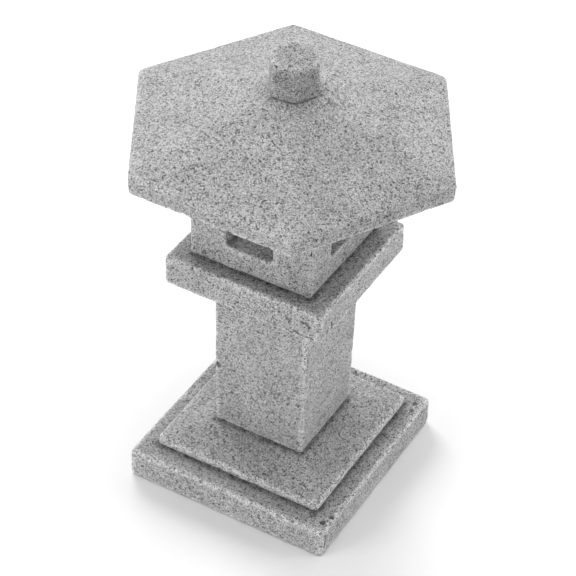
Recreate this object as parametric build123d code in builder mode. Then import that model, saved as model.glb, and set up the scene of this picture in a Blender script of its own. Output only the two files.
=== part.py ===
from build123d import *
import os

# Small stacked stone garden lantern.
#
# Seven dressed stones stand on one another without mortar: a square base slab, a sloped
# plinth, a square post, a square platform, a hollow light box with a window in each face,
# a six-sided roof and a six-sided finial. Round tenons under and over the post, round
# stubs and a plug under the roof keep the stack in line.
#
# Frame: millimetres, +Z up, origin at the middle of the base slab's underside. The square
# stones face +-X and +-Y. Two of the roof's six corners point along +X and -X.

# ---------------------------------------------------------------- levels, from the ground
slab_top = 31.5
plinth_rim = 41.0            # top of the plinth's upright rim
plinth_top = 52.5            # level seat under the post
post_top = 224.0
platform_top = 256.0
chamber_floor = 280.0        # also the window sills
window_top = 336.0
box_top = 361.5
eave_top = 379.5
roof_seat = 415.5            # level seat cut on the roof's peak
finial_top = 450.0

# ---------------------------------------------------------------- plan sizes
slab_x = 207.0
slab_y = 212.0
plinth_side = 173.0
plinth_seat_side = 98.0
post_foot_side = 93.0
post_head_side = 96.0
platform_x = 158.0
platform_y = 154.0
box_side = 121.0
box_wall = 20.5
platform_mid_x = -2.0        # the upper stones stand a little off the post's middle
platform_mid_y = -1.0
box_mid_x = -2.0
box_mid_y = -3.0
window_width = 46.0
window_mid_x = -3.5          # of the windows in the two walls that face +-Y
window_mid_y = -5.5          # of the windows in the two walls that face +-X
roof_radius = 155.6          # centre to corner
roof_seat_radius = 24.6      # centre to corner
finial_radius = 23.6         # centre to corner
finial_turn = 5.0            # degrees off the roof's corners

# ---------------------------------------------------------------- tenons and their sockets
tenon_radius = 20.0          # under and over the post, and over the platform
finial_tenon_radius = 10.0
side_gap = 1.0               # between a tenon and its socket, all round
end_gap = 1.5                # between a tenon's end and its socket's bottom
foot_tenon = 34.0            # reaches through the plinth into the base slab
head_tenon = 15.0
platform_stub = 8.0
roof_plug = 8.0              # drops into the light box's mouth
finial_tenon = 14.0

# ---------------------------------------------------------------- worn and eased edges
edge_soft = 2.5
edge_corner = 2.5
edge_roof = 3.5
roof_corner = 5.0
edge_finial = 4.0
edge_small = 1.0
chamber_corner = 10.0
window_corner = 3.5

chamber_side = box_side - 2 * box_wall
plug_side = chamber_side - 2 * side_gap
socket_radius = tenon_radius + side_gap
finial_socket_radius = finial_tenon_radius + side_gap


def label_and_write(piece, name):
    """Name a finished stone and write it to its own file."""
    piece.part.label = name
    export_step(piece.part, f"parts/{name}.step")


def upright_edges(piece):
    """The edges that run along Z."""
    return piece.edges().filter_by(Axis.Z)


def level_edges(piece, height):
    """The edges that lie in the level plane at this height."""
    return piece.edges().filter_by_position(Axis.Z, height, height)


def rounded_hexagon(radius, corner, turn=0.0):
    """A six-sided outline, centre to corner before its corners are rounded off."""
    outline = RegularPolygon(radius, 6, rotation=turn)
    fillet(outline.vertices(), corner)


os.makedirs("parts", exist_ok=True)

# Base slab: a flat square stone. The post's foot tenon ends in the socket in its top.
with BuildPart() as base_slab:
    with BuildSketch():
        Rectangle(slab_x, slab_y)
    extrude(amount=slab_top)
    fillet(upright_edges(base_slab), edge_corner)
    fillet(base_slab.faces().sort_by(Axis.Z)[-1].edges(), edge_soft)
    fillet(base_slab.faces().sort_by(Axis.Z)[0].edges(), edge_small)
    foot_tenon_end = plinth_top - foot_tenon
    slab_socket = slab_top - foot_tenon_end + end_gap
    with BuildSketch(Plane.XY.offset(slab_top)):
        Circle(socket_radius)
    extrude(amount=-slab_socket, mode=Mode.SUBTRACT)
label_and_write(base_slab, "base_slab")

# Plinth: an upright rim, then four faces that slope up to the level seat under the post.
with BuildPart() as base_plinth:
    with BuildSketch(Plane.XY.offset(slab_top)):
        RectangleRounded(plinth_side, plinth_side, edge_corner)
    extrude(amount=plinth_rim - slab_top)
    with BuildSketch(Plane.XY.offset(plinth_rim)):
        RectangleRounded(plinth_side, plinth_side, edge_corner)
    with BuildSketch(Plane.XY.offset(plinth_top)):
        RectangleRounded(plinth_seat_side, plinth_seat_side, edge_small)
    loft()
    fillet(level_edges(base_plinth, plinth_rim), edge_soft)
    with BuildSketch(Plane.XY.offset(plinth_top)):
        Circle(socket_radius)
    extrude(amount=-(plinth_top - slab_top), mode=Mode.SUBTRACT)
label_and_write(base_plinth, "base_plinth")

# Post: a square shaft, a little wider at its head, with a round tenon at each end.
with BuildPart() as post:
    with BuildSketch(Plane.XY.offset(plinth_top)):
        Rectangle(post_foot_side, post_foot_side)
    with BuildSketch(Plane.XY.offset(post_top)):
        Rectangle(post_head_side, post_head_side)
    loft()
    shaft_edges = post.edges().group_by(SortBy.LENGTH)[-1]
    fillet(shaft_edges, edge_small)
    with BuildSketch(Plane.XY.offset(plinth_top)):
        Circle(tenon_radius)
    extrude(amount=-foot_tenon)
    with BuildSketch(Plane.XY.offset(post_top)):
        Circle(tenon_radius)
    extrude(amount=head_tenon)
    chamfer(post.edges().sort_by(Axis.Z)[-1], edge_small)
    chamfer(post.edges().sort_by(Axis.Z)[0], edge_small)
label_and_write(post, "post")

# Platform: a flat square stone with a blind socket below and a low round stub above.
with BuildPart() as platform:
    with BuildSketch(Plane.XY.offset(post_top)):
        with Locations((platform_mid_x, platform_mid_y)):
            Rectangle(platform_x, platform_y)
    extrude(amount=platform_top - post_top)
    fillet(upright_edges(platform), edge_corner)
    fillet(platform.faces().sort_by(Axis.Z)[-1].edges(), edge_soft)
    fillet(platform.faces().sort_by(Axis.Z)[0].edges(), edge_soft)
    with BuildSketch(Plane.XY.offset(post_top)):
        Circle(socket_radius)
    extrude(amount=head_tenon + end_gap, mode=Mode.SUBTRACT)
    with BuildSketch(Plane.XY.offset(platform_top)):
        with Locations((platform_mid_x, platform_mid_y)):
            Circle(tenon_radius)
    extrude(amount=platform_stub)
    chamfer(platform.edges().sort_by(Axis.Z)[-1], edge_small)
label_and_write(platform, "platform")

# Light box: a square block with a chamber cut from the top down to the window sills,
# a window through each of its four walls and a blind socket below.
with BuildPart() as light_box:
    with BuildSketch(Plane.XY.offset(platform_top)):
        with Locations((box_mid_x, box_mid_y)):
            Rectangle(box_side, box_side)
    extrude(amount=box_top - platform_top)
    fillet(upright_edges(light_box), edge_small)
    with BuildSketch(Plane.XY.offset(box_top)):
        with Locations((box_mid_x, box_mid_y)):
            RectangleRounded(chamber_side, chamber_side, chamber_corner)
    extrude(amount=-(box_top - chamber_floor), mode=Mode.SUBTRACT)
    window_height = window_top - chamber_floor
    window_middle = chamber_floor + window_height / 2
    for wall_plane, middle in ((Plane.XZ, window_mid_x), (Plane.YZ, window_mid_y)):
        with BuildSketch(wall_plane):
            with Locations((middle, window_middle)):
                RectangleRounded(window_width, window_height, window_corner)
        extrude(amount=box_side, both=True, mode=Mode.SUBTRACT)
    with BuildSketch(Plane.XY.offset(platform_top)):
        with Locations((platform_mid_x, platform_mid_y)):
            Circle(socket_radius)
    extrude(amount=platform_stub + end_gap, mode=Mode.SUBTRACT)
label_and_write(light_box, "light_box")

# Roof: six upright eave faces and six sloping faces, a level seat with a socket on its
# peak and a square plug under its flat underside.
with BuildPart() as roof:
    with BuildSketch(Plane.XY.offset(box_top)):
        rounded_hexagon(roof_radius, roof_corner)
    extrude(amount=eave_top - box_top)
    with BuildSketch(Plane.XY.offset(eave_top)):
        rounded_hexagon(roof_radius, roof_corner)
    with BuildSketch(Plane.XY.offset(roof_seat)):
        rounded_hexagon(roof_seat_radius, edge_small)
    loft()
    fillet(level_edges(roof, eave_top), edge_roof)
    fillet(roof.faces().sort_by(Axis.Z)[0].edges(), edge_small)
    with BuildSketch(Plane.XY.offset(box_top)):
        with Locations((box_mid_x, box_mid_y)):
            RectangleRounded(plug_side, plug_side, chamber_corner - side_gap)
    extrude(amount=-roof_plug)
    with BuildSketch(Plane.XY.offset(roof_seat)):
        Circle(finial_socket_radius)
    extrude(amount=-(finial_tenon + end_gap), mode=Mode.SUBTRACT)
label_and_write(roof, "roof")

# Finial: a short six-sided block with a round tenon below.
with BuildPart() as finial:
    with BuildSketch(Plane.XY.offset(roof_seat)):
        rounded_hexagon(finial_radius, edge_finial, finial_turn)
    extrude(amount=finial_top - roof_seat)
    fillet(finial.faces().sort_by(Axis.Z)[-1].edges(), edge_finial)
    with BuildSketch(Plane.XY.offset(roof_seat)):
        Circle(finial_tenon_radius)
    extrude(amount=-finial_tenon)
    chamfer(finial.edges().sort_by(Axis.Z)[0], edge_small)
label_and_write(finial, "finial")
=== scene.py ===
import itertools

import bmesh
import bpy
import numpy as np
from mathutils import Matrix, Vector, kdtree


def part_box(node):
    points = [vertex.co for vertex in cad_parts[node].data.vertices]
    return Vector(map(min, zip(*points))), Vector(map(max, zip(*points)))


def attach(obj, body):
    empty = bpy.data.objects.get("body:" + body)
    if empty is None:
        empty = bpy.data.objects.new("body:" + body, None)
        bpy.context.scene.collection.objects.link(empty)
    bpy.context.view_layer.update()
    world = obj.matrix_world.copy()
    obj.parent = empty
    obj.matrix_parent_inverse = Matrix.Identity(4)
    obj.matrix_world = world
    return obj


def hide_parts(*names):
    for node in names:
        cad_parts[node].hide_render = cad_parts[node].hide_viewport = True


# A small garden lantern of seven dressed granite stones, standing on a pale studio floor.
# Each stone starts as an even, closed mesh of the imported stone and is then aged: its edges
# are worn round, its faces are made slightly wavy, and chips, pits and cracks are cut into
# it. All of this only takes material away, so no stone grows into its neighbour.

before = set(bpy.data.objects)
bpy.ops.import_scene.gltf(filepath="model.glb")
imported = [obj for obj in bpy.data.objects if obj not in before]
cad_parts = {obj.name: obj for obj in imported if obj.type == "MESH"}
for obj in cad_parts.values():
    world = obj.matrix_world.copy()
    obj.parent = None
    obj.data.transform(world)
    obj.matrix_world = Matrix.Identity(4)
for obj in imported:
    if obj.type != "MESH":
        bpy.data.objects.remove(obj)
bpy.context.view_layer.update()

MM = 0.001

# ---------------------------------------------------------------- how the stones are aged
GRID = 1.2 * MM   # spacing of the stone meshes
ROOF_GRID = 1.15 * GRID                    # the roof is the biggest, so its mesh is coarser
TOUCH = 0.6 * MM                           # waves fade out this near to another stone

EDGE_REACH = 3.0 * MM                      # how far from an edge the wear reaches
UNEVEN_SIZE = 22.0 * MM                    # over these lengths the wear is more or less
RAGGED_SIZE = 6.0 * MM
JOINT_REACH = 3.0 * MM                     # how far up from a joint its stone is cut away
ROOF_RIM_REACH = 9.0 * MM                  # how far up the roof's lower edge stays sharp
LONG_WAVE = 55.0 * MM                      # lengths of the waves in the faces
SHORT_WAVE = 17.0 * MM
RELIEF_SIZE = 3.4 * MM                     # the roughness left by the hammer
RELIEF_DEPTH = 0.22 * MM
CHIP_RADII = (2.0 * MM, 5.0 * MM)          # chips lie on edges
CHIP_DEPTH = 1.3 * MM
PIT_RADII = (1.4 * MM, 2.8 * MM)           # pits lie on any open face
PIT_DEPTH = 0.9 * MM
LEAST_WEIGHT = 1e-9                        # so that a dent can be drawn at any vertex
CRACK_DEPTH = 1.2 * MM
CRACK_HALF_WIDTH = 1.4 * MM                # give or take the next value
CRACK_RAGGED = 0.5 * MM
CRACK_WANDER = 3.0 * MM                    # over this length its width changes

PATCH_SIZE = 4.0 * MM                      # the joint darkening and painted shade lie in patches of about this size
JOINT_DARK_REACH = 1.6 * MM                      # how far the dark joint line spreads from a joint: dirt and painted shade
JOINT_SHADE_REACH = 12.0 * MM                     # how far the faint painted shade near another stone spreads
JOINT_SHADE = 0.1                                 # how strong that faint painted shade is
FOOT_SHADE_REACH = 40.0 * MM                     # how far up from the foot of a wall the painted shade reaches
FOOT_SHADE = 0.25                                # how strong the painted shade is at the foot
BED_REACH = 3.0 * MM                       # how far in under a stone the joint darkening reaches
CRACK_REACH = 1.3 * MM                     # how far to each side a crack is darkened
HOLLOW_DEPTH = 0.9 * MM                    # hollows are darker up to about this depth
PALE_EDGE_START = 0.12 * MM                      # edges that stand out more than this are painted paler: wear and painted highlight
PALE_EDGE_SPAN = 0.4 * MM                        # and this much further out they are fully pale
PALE_EDGE_GAP = 3.0 * MM                         # the paler edges fade out this near to another stone
ROOF_RIM_HIGHLIGHT = 3.0 * MM                   # height of the painted highlight along the roof's rim

# Per stone: a seed, how far its edges are worn, how far its lower edge is cut away, the
# depth of its waves in mm, its chips and pits, how dark its joints are painted (dirt and
# painted shade), how pale its edges are painted (wear and painted highlight), and its grey.
STONES = {
    "base_slab": dict(seed=11, wear=1.0, joint=0.0, wave=0.8, chips=60, pits=150,
                      joint_dark=0.95, pale_edges=1.0, grey=0.36),
    "base_plinth": dict(seed=23, wear=1.0, joint=0.8, wave=0.6, chips=50, pits=120,
                        joint_dark=0.95, pale_edges=1.0, grey=0.36),
    "post": dict(seed=37, wear=0.6, joint=0.3, wave=0.7, chips=60, pits=90,
                 joint_dark=0.95, pale_edges=1.0, grey=0.36),
    "platform": dict(seed=41, wear=0.9, joint=0.0, wave=0.7, chips=60, pits=120,
                     joint_dark=0.95, pale_edges=1.0, grey=0.36),
    "light_box": dict(seed=59, wear=0.2, joint=0.5, wave=0.4, chips=30, pits=110,
                      joint_dark=0.95, pale_edges=0.3, grey=0.36),
    "roof": dict(seed=67, wear=0.9, joint=0.0, wave=0.8, chips=50, pits=180,
                 joint_dark=0.4, pale_edges=0.2, grey=0.36),
    "finial": dict(seed=79, wear=0.5, joint=0.0, wave=0.3, chips=6, pits=40,
                   joint_dark=0.5, pale_edges=0.6, grey=0.30),
}

# Larger dents seen on the real stones: x, y, z of a point on the surface, the way out of
# the stone there, the dent's radius and its depth, all lengths in mm.
SCARS = {
    "base_slab": [
        ((103, -80, 2), (1, 0, -1), 11, 3.0),
        ((101, -66, 31), (1, 0, 1), 7, 1.5),
        ((94, 90, 31), (0, 0, 1), 3, 1.6),
        ((96, 80, 31), (0, 0, 1), 3, 1.6),
        ((96, -92, 31), (0, 0, 1), 3.5, 1.8),
        ((99, -82, 31), (0, 0, 1), 3, 1.6),
    ],
    "base_plinth": [
        ((-86, -86, 33), (-1, -1, -1), 6, 3.5),
        ((86, 84, 34), (1, 1, -1), 5, 2.5),
    ],
    "platform": [
        ((76, -78, 225), (0, -1, -1), 7, 2.5),
        ((77, -74, 232), (1, 0, 0), 4, 1.5),
        ((76, -77, 254), (1, -1, 1), 5, 2.0),
    ],
    "light_box": [
        ((24, -63.5, 257), (0, -1, -1), 5, 1.5),
        ((58, -20, 257), (1, 0, -1), 4, 1.5),
    ],
    "roof": [
        ((22, -16, 415), (0.3, -0.3, 1), 3, 1.8),
        ((148, 4, 372), (1, 0.2, 0), 3.5, 1.8),
    ],
}

# Cracks and open joint lines seen on the real stones, each as points along it in mm.
CRACKS = {
    "platform": [
        [(77, -77, 256), (76, -78, 250), (75, -78, 246), (75, -78, 238), (75, -78, 226)],
        [(68, -78, 228), (62, -78, 227), (56, -78, 228), (51, -78, 230)],
        [(66, -78, 240), (62, -78, 243), (59, -78, 242)],
        [(47, -78, 239), (43, -78, 241)],
        [(77, -57, 236), (77, -56, 228)],
        [(77, -64, 232), (77, -63, 227)],
    ],
    "base_slab": [
        [(103.5, -101, 26), (103.5, -97, 20), (103.5, -99, 12)],
    ],
    "base_plinth": [
        [(86.5, -82, 32), (86.5, -20, 33), (86.5, 40, 32.5), (86.5, 82, 32)],
        [(-30, -86.5, 32), (20, -86.5, 33), (82, -86.5, 32)],
    ],
    "light_box": [
        [(-62, -63.5, 256), (-30, -63.5, 257)],
        [(-8, -63.5, 257), (20, -63.5, 256.5)],
        [(30, -63.5, 256.5), (58, -63.5, 257)],
        [(58.5, -60, 257), (58.5, -8, 257)],
    ],
}

# From where to where each stone's body reaches in height, in mm, without its hidden tenon,
# stub or plug.
BODY_SPAN = {
    "base_slab": (0.0, 31.5),
    "base_plinth": (31.5, 52.5),
    "post": (52.5, 224.0),
    "platform": (224.0, 256.0),
    "light_box": (256.0, 361.5),
    "roof": (361.5, 415.5),
    "finial": (415.5, 450.0),
}


# ---------------------------------------------------------------- noise on points
LATTICE_SIZE = 8192                        # how many random heights the noise draws on
LATTICE_HASH = (73856093, 19349663, 83492791)


def lattice_noise(points, size, seed):
    """Smooth noise from -1 to 1 at each point, in lumps about `size` metres across."""
    rng = np.random.default_rng(seed)
    turn = Matrix.Rotation(rng.uniform(0.4, 1.2), 3, Vector(rng.uniform(0.3, 1, 3)))
    cells = points @ np.array(turn) / size + rng.uniform(0, 50, 3)
    heights = rng.uniform(-1, 1, LATTICE_SIZE)
    corner = np.floor(cells).astype(np.int64)
    part = cells - corner
    part = part * part * (3 - 2 * part)
    total = np.zeros(len(points))
    for step in itertools.product((0, 1), repeat=3):
        i, j, k = ((corner + step) * LATTICE_HASH).T
        place = (i ^ j ^ k) % LATTICE_SIZE
        total += heights[place] * np.prod(np.where(step, part, 1 - part), axis=1)
    return total


# ---------------------------------------------------------------- stone meshes
def even_mesh(node):
    """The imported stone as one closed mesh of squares, evenly spaced."""
    source = bpy.data.objects.new("blank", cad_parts[node].data.copy())
    bpy.context.scene.collection.objects.link(source)
    shell = bmesh.new()
    shell.from_mesh(source.data)
    bmesh.ops.remove_doubles(shell, verts=shell.verts, dist=0.01 * MM)
    shell.to_mesh(source.data)
    shell.free()
    remesh = source.modifiers.new("even grid", "REMESH")
    remesh.mode = "VOXEL"
    remesh.voxel_size = ROOF_GRID if node == "roof" else GRID
    shaped = source.evaluated_get(bpy.context.evaluated_depsgraph_get())
    mesh = bpy.data.meshes.new_from_object(shaped)
    mesh.name = node
    mesh.materials.clear()
    bpy.data.objects.remove(source)
    return mesh


def get_points(mesh):
    """The mesh's vertices as rows of x, y, z."""
    flat = np.empty(len(mesh.vertices) * 3)
    mesh.vertices.foreach_get("co", flat)
    return flat.reshape(-1, 3)


def get_normals(mesh):
    """The mesh's vertex normals as rows of x, y, z."""
    flat = np.empty(len(mesh.vertices) * 3)
    mesh.vertex_normals.foreach_get("vector", flat)
    return flat.reshape(-1, 3)


def set_points(mesh, points):
    """Moves the mesh's vertices to these rows of x, y, z."""
    mesh.vertices.foreach_set("co", points.ravel())
    mesh.update()


def get_edges(mesh):
    """The mesh's edges as rows of two vertex numbers."""
    flat = np.empty(len(mesh.edges) * 2, np.int32)
    mesh.edges.foreach_get("vertices", flat)
    return flat.reshape(-1, 2)


def smoothed(values, edges, rounds):
    """Values averaged with their neighbours along the edges, again and again."""
    count = len(values)
    ends = np.concatenate((edges[:, 0], edges[:, 1]))
    others = np.concatenate((edges[:, 1], edges[:, 0]))
    degree = np.bincount(ends, minlength=count)
    columns = values.reshape(count, -1).T.copy()
    for _ in range(rounds):
        for column in columns:
            around = np.bincount(ends, column[others], minlength=count) / degree
            column += 0.5 * (around - column)
    return columns.T.reshape(values.shape)


def edge_height(mesh):
    """How far each vertex stands out from its smoothed surroundings: positive on edges."""
    points = get_points(mesh)
    rounds = int(4 * (EDGE_REACH / GRID) ** 2)
    away = points - smoothed(points, get_edges(mesh), rounds)
    return np.sum(away * get_normals(mesh), axis=1)


def point_tree(points):
    """A search tree of the points."""
    tree = kdtree.KDTree(len(points))
    for index, place in enumerate(points):
        tree.insert(place, index)
    tree.balance()
    return tree


def dent(points, tree, centre, radius):
    """Pushes the points inside a ball out to its skin, away from its middle."""
    for place, index, _ in tree.find_range(centre, radius):
        away = (place - centre).normalized()
        points[index] = centre + away * radius


def cut_scars(mesh, scars):
    """Cuts the dents listed for a stone in SCARS."""
    points = get_points(mesh)
    tree = point_tree(points)
    for place, outward, radius, depth in scars:
        centre = MM * (Vector(place) + Vector(outward).normalized() * (radius - depth))
        dent(points, tree, centre, radius * MM)
    set_points(mesh, points)


def crack_distance(points, line):
    """How far each point lies from a crack given as points along it in mm."""
    nearest = np.full(len(points), 1.0)
    stops = MM * np.array(line, float)
    for start, end in zip(stops[:-1], stops[1:]):
        along = end - start
        share = np.clip((points - start) @ along / (along @ along), 0, 1)
        foot = start + share[:, None] * along
        nearest = np.minimum(nearest, np.linalg.norm(points - foot, axis=1))
    return nearest


def cut_cracks(mesh, lines, seed):
    """Cuts the cracks listed for a stone in CRACKS, as narrow ragged grooves."""
    points = get_points(mesh)
    for line in lines:
        ragged = CRACK_RAGGED * lattice_noise(points, CRACK_WANDER, seed + 6)
        half_width = CRACK_HALF_WIDTH + ragged
        bite = CRACK_DEPTH * np.exp(-(crack_distance(points, line) / half_width) ** 2)
        points = points - get_normals(mesh) * bite[:, None]
    set_points(mesh, points)


def cut_dents(mesh, rng, weight, count, radius_range, depth):
    """Cuts `count` dents, up to `depth` deep, at random vertices drawn by weight."""
    points = get_points(mesh)
    normals = get_normals(mesh)
    tree = point_tree(points)
    chosen = rng.choice(len(points), count, p=weight / weight.sum())
    radii = rng.uniform(*radius_range, count)
    for index, radius in zip(chosen, radii):
        bite = rng.uniform(0.5, 1.0) * depth
        centre = Vector(points[index] + normals[index] * (radius - bite))
        dent(points, tree, centre, radius)
    set_points(mesh, points)


def other_boxes(node):
    """The lowest and highest corners of every other stone's body."""
    for other, span in BODY_SPAN.items():
        if other != node:
            low, high = (np.array(corner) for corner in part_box(other))
            low[2], high[2] = span[0] * MM, span[1] * MM
            yield low, high


def near_others(node, points):
    """How far each point lies outside the nearest other stone's box, 0 inside it."""
    nearest = np.full(len(points), 1.0)
    for low, high in other_boxes(node):
        outside = np.maximum(np.maximum(low - points, points - high), 0)
        nearest = np.minimum(nearest, np.linalg.norm(outside, axis=1))
    return nearest


def covered(node, points):
    """How far each point lies in from the rim of a stone's body that it touches."""
    depth = np.zeros(len(points))
    for low, high in other_boxes(node):
        inside = np.minimum(points - low, high - points)
        touching = inside[:, 2] > -1.0 * MM
        depth = np.maximum(depth, np.where(touching, np.min(inside[:, :2], axis=1), 0))
    return depth


def worn_depth(node, mesh, seed, outstanding, wear, joint):
    """How deep each vertex is worn off, on edges and at the foot."""
    points = get_points(mesh)
    uneven = 0.75 + 0.45 * lattice_noise(points, UNEVEN_SIZE, seed)
    ragged = np.clip(lattice_noise(points, RAGGED_SIZE, seed + 1) - 0.1, 0, 1)
    above_foot = np.abs(points[:, 2] - BODY_SPAN[node][0] * MM)
    at_foot = np.clip(1 - above_foot / JOINT_REACH, 0, 1)
    if node == "roof":
        at_rim = np.clip(1 - above_foot / ROOF_RIM_REACH, 0, 1)
        level = np.clip(1.4 * np.abs(get_normals(mesh)[:, 2]), 0, 1)
        wear = wear * (1 - at_rim * level)
    return outstanding * (wear * (uneven + 0.6 * ragged) + joint * at_foot)


def wave_depth(points, seed, wave, open_face):
    """How deep the waves and the hammered relief are in the faces that lie open."""
    long_wave = 0.5 + 0.5 * lattice_noise(points, LONG_WAVE, seed + 2)
    short_wave = 0.5 + 0.5 * lattice_noise(points, SHORT_WAVE, seed + 3)
    relief = np.clip(lattice_noise(points, RELIEF_SIZE, seed + 4), 0, 1)
    waves = wave * MM * (0.6 * long_wave + 0.4 * short_wave) * open_face
    return waves, RELIEF_DEPTH * relief * open_face


def aged_stone(node, seed, wear, joint, wave, chips, pits, joint_dark, pale_edges):
    """A stone's mesh with worn edges, wavy faces, chips, pits and cracks."""
    mesh = even_mesh(node)
    rng = np.random.default_rng(seed)
    low, high = (np.array(corner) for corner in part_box(node))
    points = get_points(mesh)
    outstanding = np.clip(edge_height(mesh), 0, None)
    gap = near_others(node, points)
    open_face = smoothed(np.clip(gap / TOUCH, 0, 1), get_edges(mesh), 3)

    depth = worn_depth(node, mesh, seed, outstanding, wear, joint)
    for more in wave_depth(points, seed, wave, open_face):
        depth += more
    set_points(mesh, points - get_normals(mesh) * depth[:, None])

    cut_scars(mesh, SCARS.get(node, []))
    cut_cracks(mesh, CRACKS.get(node, []), seed)
    on_edges = open_face * np.clip(outstanding / MM, 0, 1) ** 2
    cut_dents(mesh, rng, on_edges + LEAST_WEIGHT, chips, CHIP_RADII, CHIP_DEPTH)
    cut_dents(mesh, rng, open_face + LEAST_WEIGHT, pits, PIT_RADII, PIT_DEPTH)
    set_points(mesh, np.clip(get_points(mesh), low, high))
    paint_dirt_and_light(mesh, node, seed, joint_dark, pale_edges)
    mesh.shade_smooth()
    return mesh


def paint_dirt_and_light(mesh, node, seed, joint_dark, pale_edges):
    """Stores how much darker or paler each vertex is painted: above 0 in hollows, joints and
    cracks, from dirt and painted shade; below 0 on edges, from wear and painted highlight.
    """
    points = get_points(mesh)
    standing = edge_height(mesh)
    patchy = 0.85 + 0.5 * lattice_noise(points, PATCH_SIZE, seed + 5)
    gap = near_others(node, points)
    bedded = 0.3 + 0.7 * np.exp(-covered(node, points) / BED_REACH)
    # Darker near other stones: dark joints and painted shade between the stones, with a
    # faint, wider painted shade beyond.
    dirt_and_shade = joint_dark * bedded * np.exp(-gap / JOINT_DARK_REACH) * patchy
    dirt_and_shade += JOINT_SHADE * np.exp(-gap / JOINT_SHADE_REACH) * patchy
    # Darker in hollows: painted shade.
    dirt_and_shade += np.clip(-standing / HOLLOW_DEPTH, 0, 0.8)
    above_foot = np.clip(points[:, 2] - BODY_SPAN[node][0] * MM, 0, None)
    # Upright faces darker towards their foot: painted shade.
    if node in ("post", "light_box"):
        upright = 1 - np.abs(get_normals(mesh)[:, 2])
        dirt_and_shade += FOOT_SHADE * np.exp(-above_foot / FOOT_SHADE_REACH) * upright
    # Darker along the cracks: dark cracks with painted shade in their grooves.
    for line in CRACKS.get(node, []):
        dirt_and_shade += np.exp(-(crack_distance(points, line) / CRACK_REACH) ** 2)

    # Paler on standing edges: worn edges and painted highlight.
    wear_and_highlight = pale_edges * np.clip((standing - PALE_EDGE_START) / PALE_EDGE_SPAN, 0, 1)
    # A painted highlight along the roof's lower rim.
    if node == "roof":
        wear_and_highlight += np.clip(1 - above_foot / ROOF_RIM_HIGHLIGHT, 0, 1)
    wear_and_highlight *= 1 - np.exp(-gap / PALE_EDGE_GAP)
    dirt_shade_and_highlight = mesh.attributes.new("dirt_shade_and_highlight", "FLOAT", "POINT")
    dirt_shade_and_highlight.data.foreach_set("value", np.clip(dirt_and_shade - wear_and_highlight, -1, 1).astype(np.float32))


# ---------------------------------------------------------------- granite
GRAIN_SIZE = 1.15 * MM                     # pale and dark grains
FINE_SIZE = 0.75 * MM                      # the finest mottle, which is also the roughness
CLOUD_SIZE = 28 * MM                       # wide, faint changes of grey
HOLLOW_SIZE = 1.5 * MM                     # small dark pits
SPECK_SIZE = 6.5 * MM                      # how far apart the dark specks lie
VEIN_SIZE = 13 * MM                        # how widely the hairlines wander
VEIN_PATCH_SIZE = 21 * MM                  # how widely the patches that have them change
BUMP_DEPTH = 0.7 * MM


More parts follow.
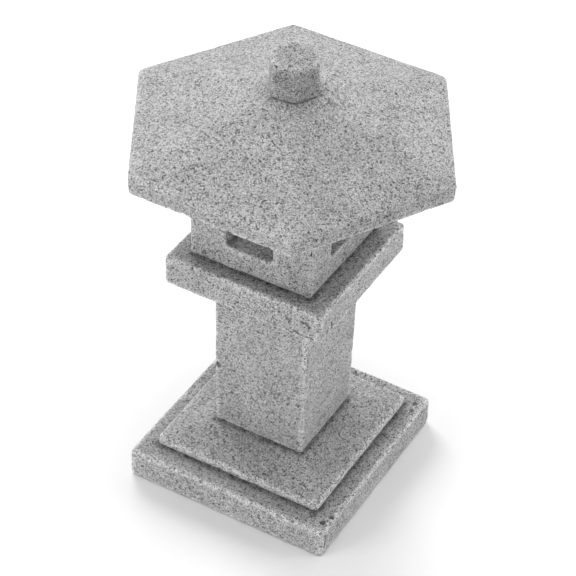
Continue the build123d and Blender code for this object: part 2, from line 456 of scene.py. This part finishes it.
def granite(name, seed, grey):
    """Fine grey granite: pale and dark grains, specks, pits and hairlines, darkened with
    dirt and painted shade, paled with wear and painted highlight, rough.
    """
    material = bpy.data.materials.new(name)
    material.use_nodes = True
    nodes = material.node_tree.nodes
    links = material.node_tree.links
    shader = nodes["Principled BSDF"]

    def node(kind, **values):
        made = nodes.new(kind)
        for key, value in values.items():
            if key in made.inputs:
                made.inputs[key].default_value = value
            else:
                setattr(made, key, value)
        return made

    def math_node(operation, *values):
        made = nodes.new("ShaderNodeMath")
        made.operation = operation
        for socket, value in zip(made.inputs, values):
            if isinstance(value, bpy.types.NodeSocket):
                links.new(value, socket)
            else:
                socket.default_value = value
        return made.outputs[0]

    def ramp(value, *stops):
        made = nodes.new("ShaderNodeValToRGB")
        links.new(value, made.inputs[0])
        points = made.color_ramp.elements
        while len(points) < len(stops):
            points.new(0.5)
        for point, (place, level) in zip(points, stops):
            point.position = place
            point.color = (level, level, level, 1)
        return made.outputs[0]

    place = node("ShaderNodeTexCoord").outputs["Object"]
    shift = node("ShaderNodeMapping", Location=(seed * 0.031, seed * 0.017, seed * 0.023))
    links.new(place, shift.inputs["Vector"])
    place = shift.outputs["Vector"]

    def texture(kind, output, **values):
        made = node(kind, **values)
        links.new(place, made.inputs["Vector"])
        return made.outputs[output]

    grains = texture("ShaderNodeTexVoronoi", "Color", Scale=1 / GRAIN_SIZE)
    grain = node("ShaderNodeSeparateColor")
    links.new(grains, grain.inputs[0])
    mineral = ramp(grain.outputs[0], (0.0, 0.25), (0.2, 0.85), (0.5, 1.05), (0.95, 1.3))
    fine = texture("ShaderNodeTexNoise", "Fac", Scale=1 / FINE_SIZE, Detail=1.0)
    cloud = texture("ShaderNodeTexNoise", "Fac", Scale=1 / CLOUD_SIZE, Detail=3.0)
    hollow = texture("ShaderNodeTexNoise", "Fac", Scale=1 / HOLLOW_SIZE, Detail=2.0)
    pit = ramp(hollow, (0.3, 0.25), (0.39, 1.0))
    specks = texture("ShaderNodeTexVoronoi", "Distance", Scale=1 / SPECK_SIZE)
    speck = ramp(specks, (0.12, 0.35), (0.19, 1.0))
    veins = texture("ShaderNodeTexNoise", "Fac", Scale=1 / VEIN_SIZE, Detail=3.0)
    vein = math_node("ABSOLUTE", math_node("SUBTRACT", veins, 0.5))
    where = texture("ShaderNodeTexNoise", "Fac", Scale=1 / VEIN_PATCH_SIZE, Detail=1.0)
    vein = math_node("ADD", vein, ramp(where, (0.5, 0.2), (0.62, 0.0)))
    crack = ramp(vein, (0.002, 0.35), (0.012, 1.0))
    # The stored darkening and paleness: dirt and painted shade darken, worn edges and
    # painted highlights lighten.
    dirt_shade_and_highlight = node("ShaderNodeAttribute", attribute_name="dirt_shade_and_highlight").outputs["Fac"]
    dirt_and_light_level = math_node("MULTIPLY_ADD", dirt_shade_and_highlight, 0.5, 0.5)
    dirt_and_light_tone = ramp(dirt_and_light_level, (0.0, 1.45), (0.5, 1.0), (0.75, 0.7), (1.0, 0.3))

    shade = ramp(fine, (0.3, 0.34), (0.5, 1.03), (0.72, 1.5))
    drift = ramp(cloud, (0.3, 0.92), (0.7, 1.08))
    tone = mineral
    for layer in (shade, drift, pit, speck, crack, dirt_and_light_tone, grey):
        tone = math_node("MULTIPLY", tone, layer)
    links.new(tone, shader.inputs["Base Color"])

    rough = ramp(fine, (0.3, 0.8), (0.7, 0.98))
    links.new(rough, shader.inputs["Roughness"])
    shader.inputs["Specular IOR Level"].default_value = 0.25

    height = math_node("MULTIPLY", fine, 0.6)
    for layer in (pit, speck, crack):
        height = math_node("ADD", height, layer)
    bump = node("ShaderNodeBump", Strength=0.8, Distance=BUMP_DEPTH)
    links.new(height, bump.inputs["Height"])
    links.new(bump.outputs[0], shader.inputs["Normal"])
    return material


def build_stone(node, grey, **shape):
    """Makes a stone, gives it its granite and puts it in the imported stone's place."""
    mesh = aged_stone(node, **shape)
    mesh.materials.append(granite(node + "_granite", shape["seed"], grey))
    stone = bpy.data.objects.new(node + "_stone", mesh)
    bpy.context.scene.collection.objects.link(stone)
    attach(stone, node)
    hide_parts(node)


for stone_name, stone_settings in STONES.items():
    build_stone(stone_name, **stone_settings)


# ---------------------------------------------------------------- studio
FLOOR_HALF_WIDTH = 4.0                     # metres
FLOOR_GREY = 0.86
AIR_STRENGTH = 0.42                        # even white light from all round
CAMERA_PLACE = (0.7106, -1.2786, 1.4390)   # metres
CAMERA_RIGHT = (0.8633, 0.5041, 0.0257)    # the way the picture's right side points
CAMERA_UP = (-0.3431, 0.5487, 0.7624)      # the way its top points
CAMERA_LENS = 133.8                        # millimetres, on a sensor 36 mm wide

# Name, place and aim in metres, width in metres, and power in watts.
LIGHTS = [
    ("over", (0.0, 0.0, 2.4), (0, 0, 0.2), 1.6, 24.0),
    ("front_left", (-1.3, -1.85, 0.55), (0, 0, 0.2), 1.4, 32.0),
    ("right", (2.0, 0.95, 0.55), (0, 0, 0.2), 1.4, 26.0),
    ("back_left", (-1.5, 1.3, 1.3), (0, 0, 0.3), 1.4, 34.0),
    ("back", (0.4, 2.2, 1.2), (0, 0, 0.3), 1.4, 8.0),
]


def build_floor():
    """A wide pale floor."""
    material = bpy.data.materials.new("floor_paint")
    material.use_nodes = True
    paint = material.node_tree.nodes["Principled BSDF"]
    paint.inputs["Base Color"].default_value = (FLOOR_GREY, FLOOR_GREY, FLOOR_GREY, 1)
    paint.inputs["Roughness"].default_value = 0.9
    shape = bmesh.new()
    bmesh.ops.create_grid(shape, x_segments=1, y_segments=1, size=FLOOR_HALF_WIDTH)
    mesh = bpy.data.meshes.new("floor")
    shape.to_mesh(mesh)
    shape.free()
    mesh.materials.append(material)
    floor = bpy.data.objects.new("floor", mesh)
    bpy.context.scene.collection.objects.link(floor)


def softbox(name, place, aim, size, power):
    """A round area light at `place`, turned to `aim` and not seen by the camera."""
    light = bpy.data.lights.new(name, "AREA")
    light.shape = "DISK"
    light.size = size
    light.energy = power
    lamp = bpy.data.objects.new(name, light)
    lamp.location = place
    lamp.rotation_euler = (Vector(aim) - Vector(place)).to_track_quat("-Z", "Y").to_euler()
    lamp.visible_camera = False
    bpy.context.scene.collection.objects.link(lamp)


def build_camera():
    """Looks down at the lantern from its front right, about 1.9 m away."""
    right = Vector(CAMERA_RIGHT)
    up = Vector(CAMERA_UP)
    back = right.cross(up)
    camera = bpy.data.objects.new("camera", bpy.data.cameras.new("camera"))
    camera.data.lens = CAMERA_LENS
    camera.data.sensor_width = 36.0
    camera.data.clip_start = 0.1
    camera.data.clip_end = 50.0
    turn = Matrix((right, up, back)).transposed().to_4x4()
    camera.matrix_world = Matrix.Translation(CAMERA_PLACE) @ turn
    bpy.context.scene.collection.objects.link(camera)
    bpy.context.scene.camera = camera


def build_air():
    """Even white light from all round."""
    world = bpy.data.worlds.new("studio")
    world.use_nodes = True
    air = world.node_tree.nodes["Background"]
    air.inputs["Color"].default_value = (1, 1, 1, 1)
    air.inputs["Strength"].default_value = AIR_STRENGTH
    bpy.context.scene.world = world


build_floor()
build_camera()
for light_name, light_place, light_aim, light_size, light_power in LIGHTS:
    softbox(light_name, light_place, light_aim, light_size, light_power)
build_air()
bpy.context.scene.view_settings.view_transform = "Standard"
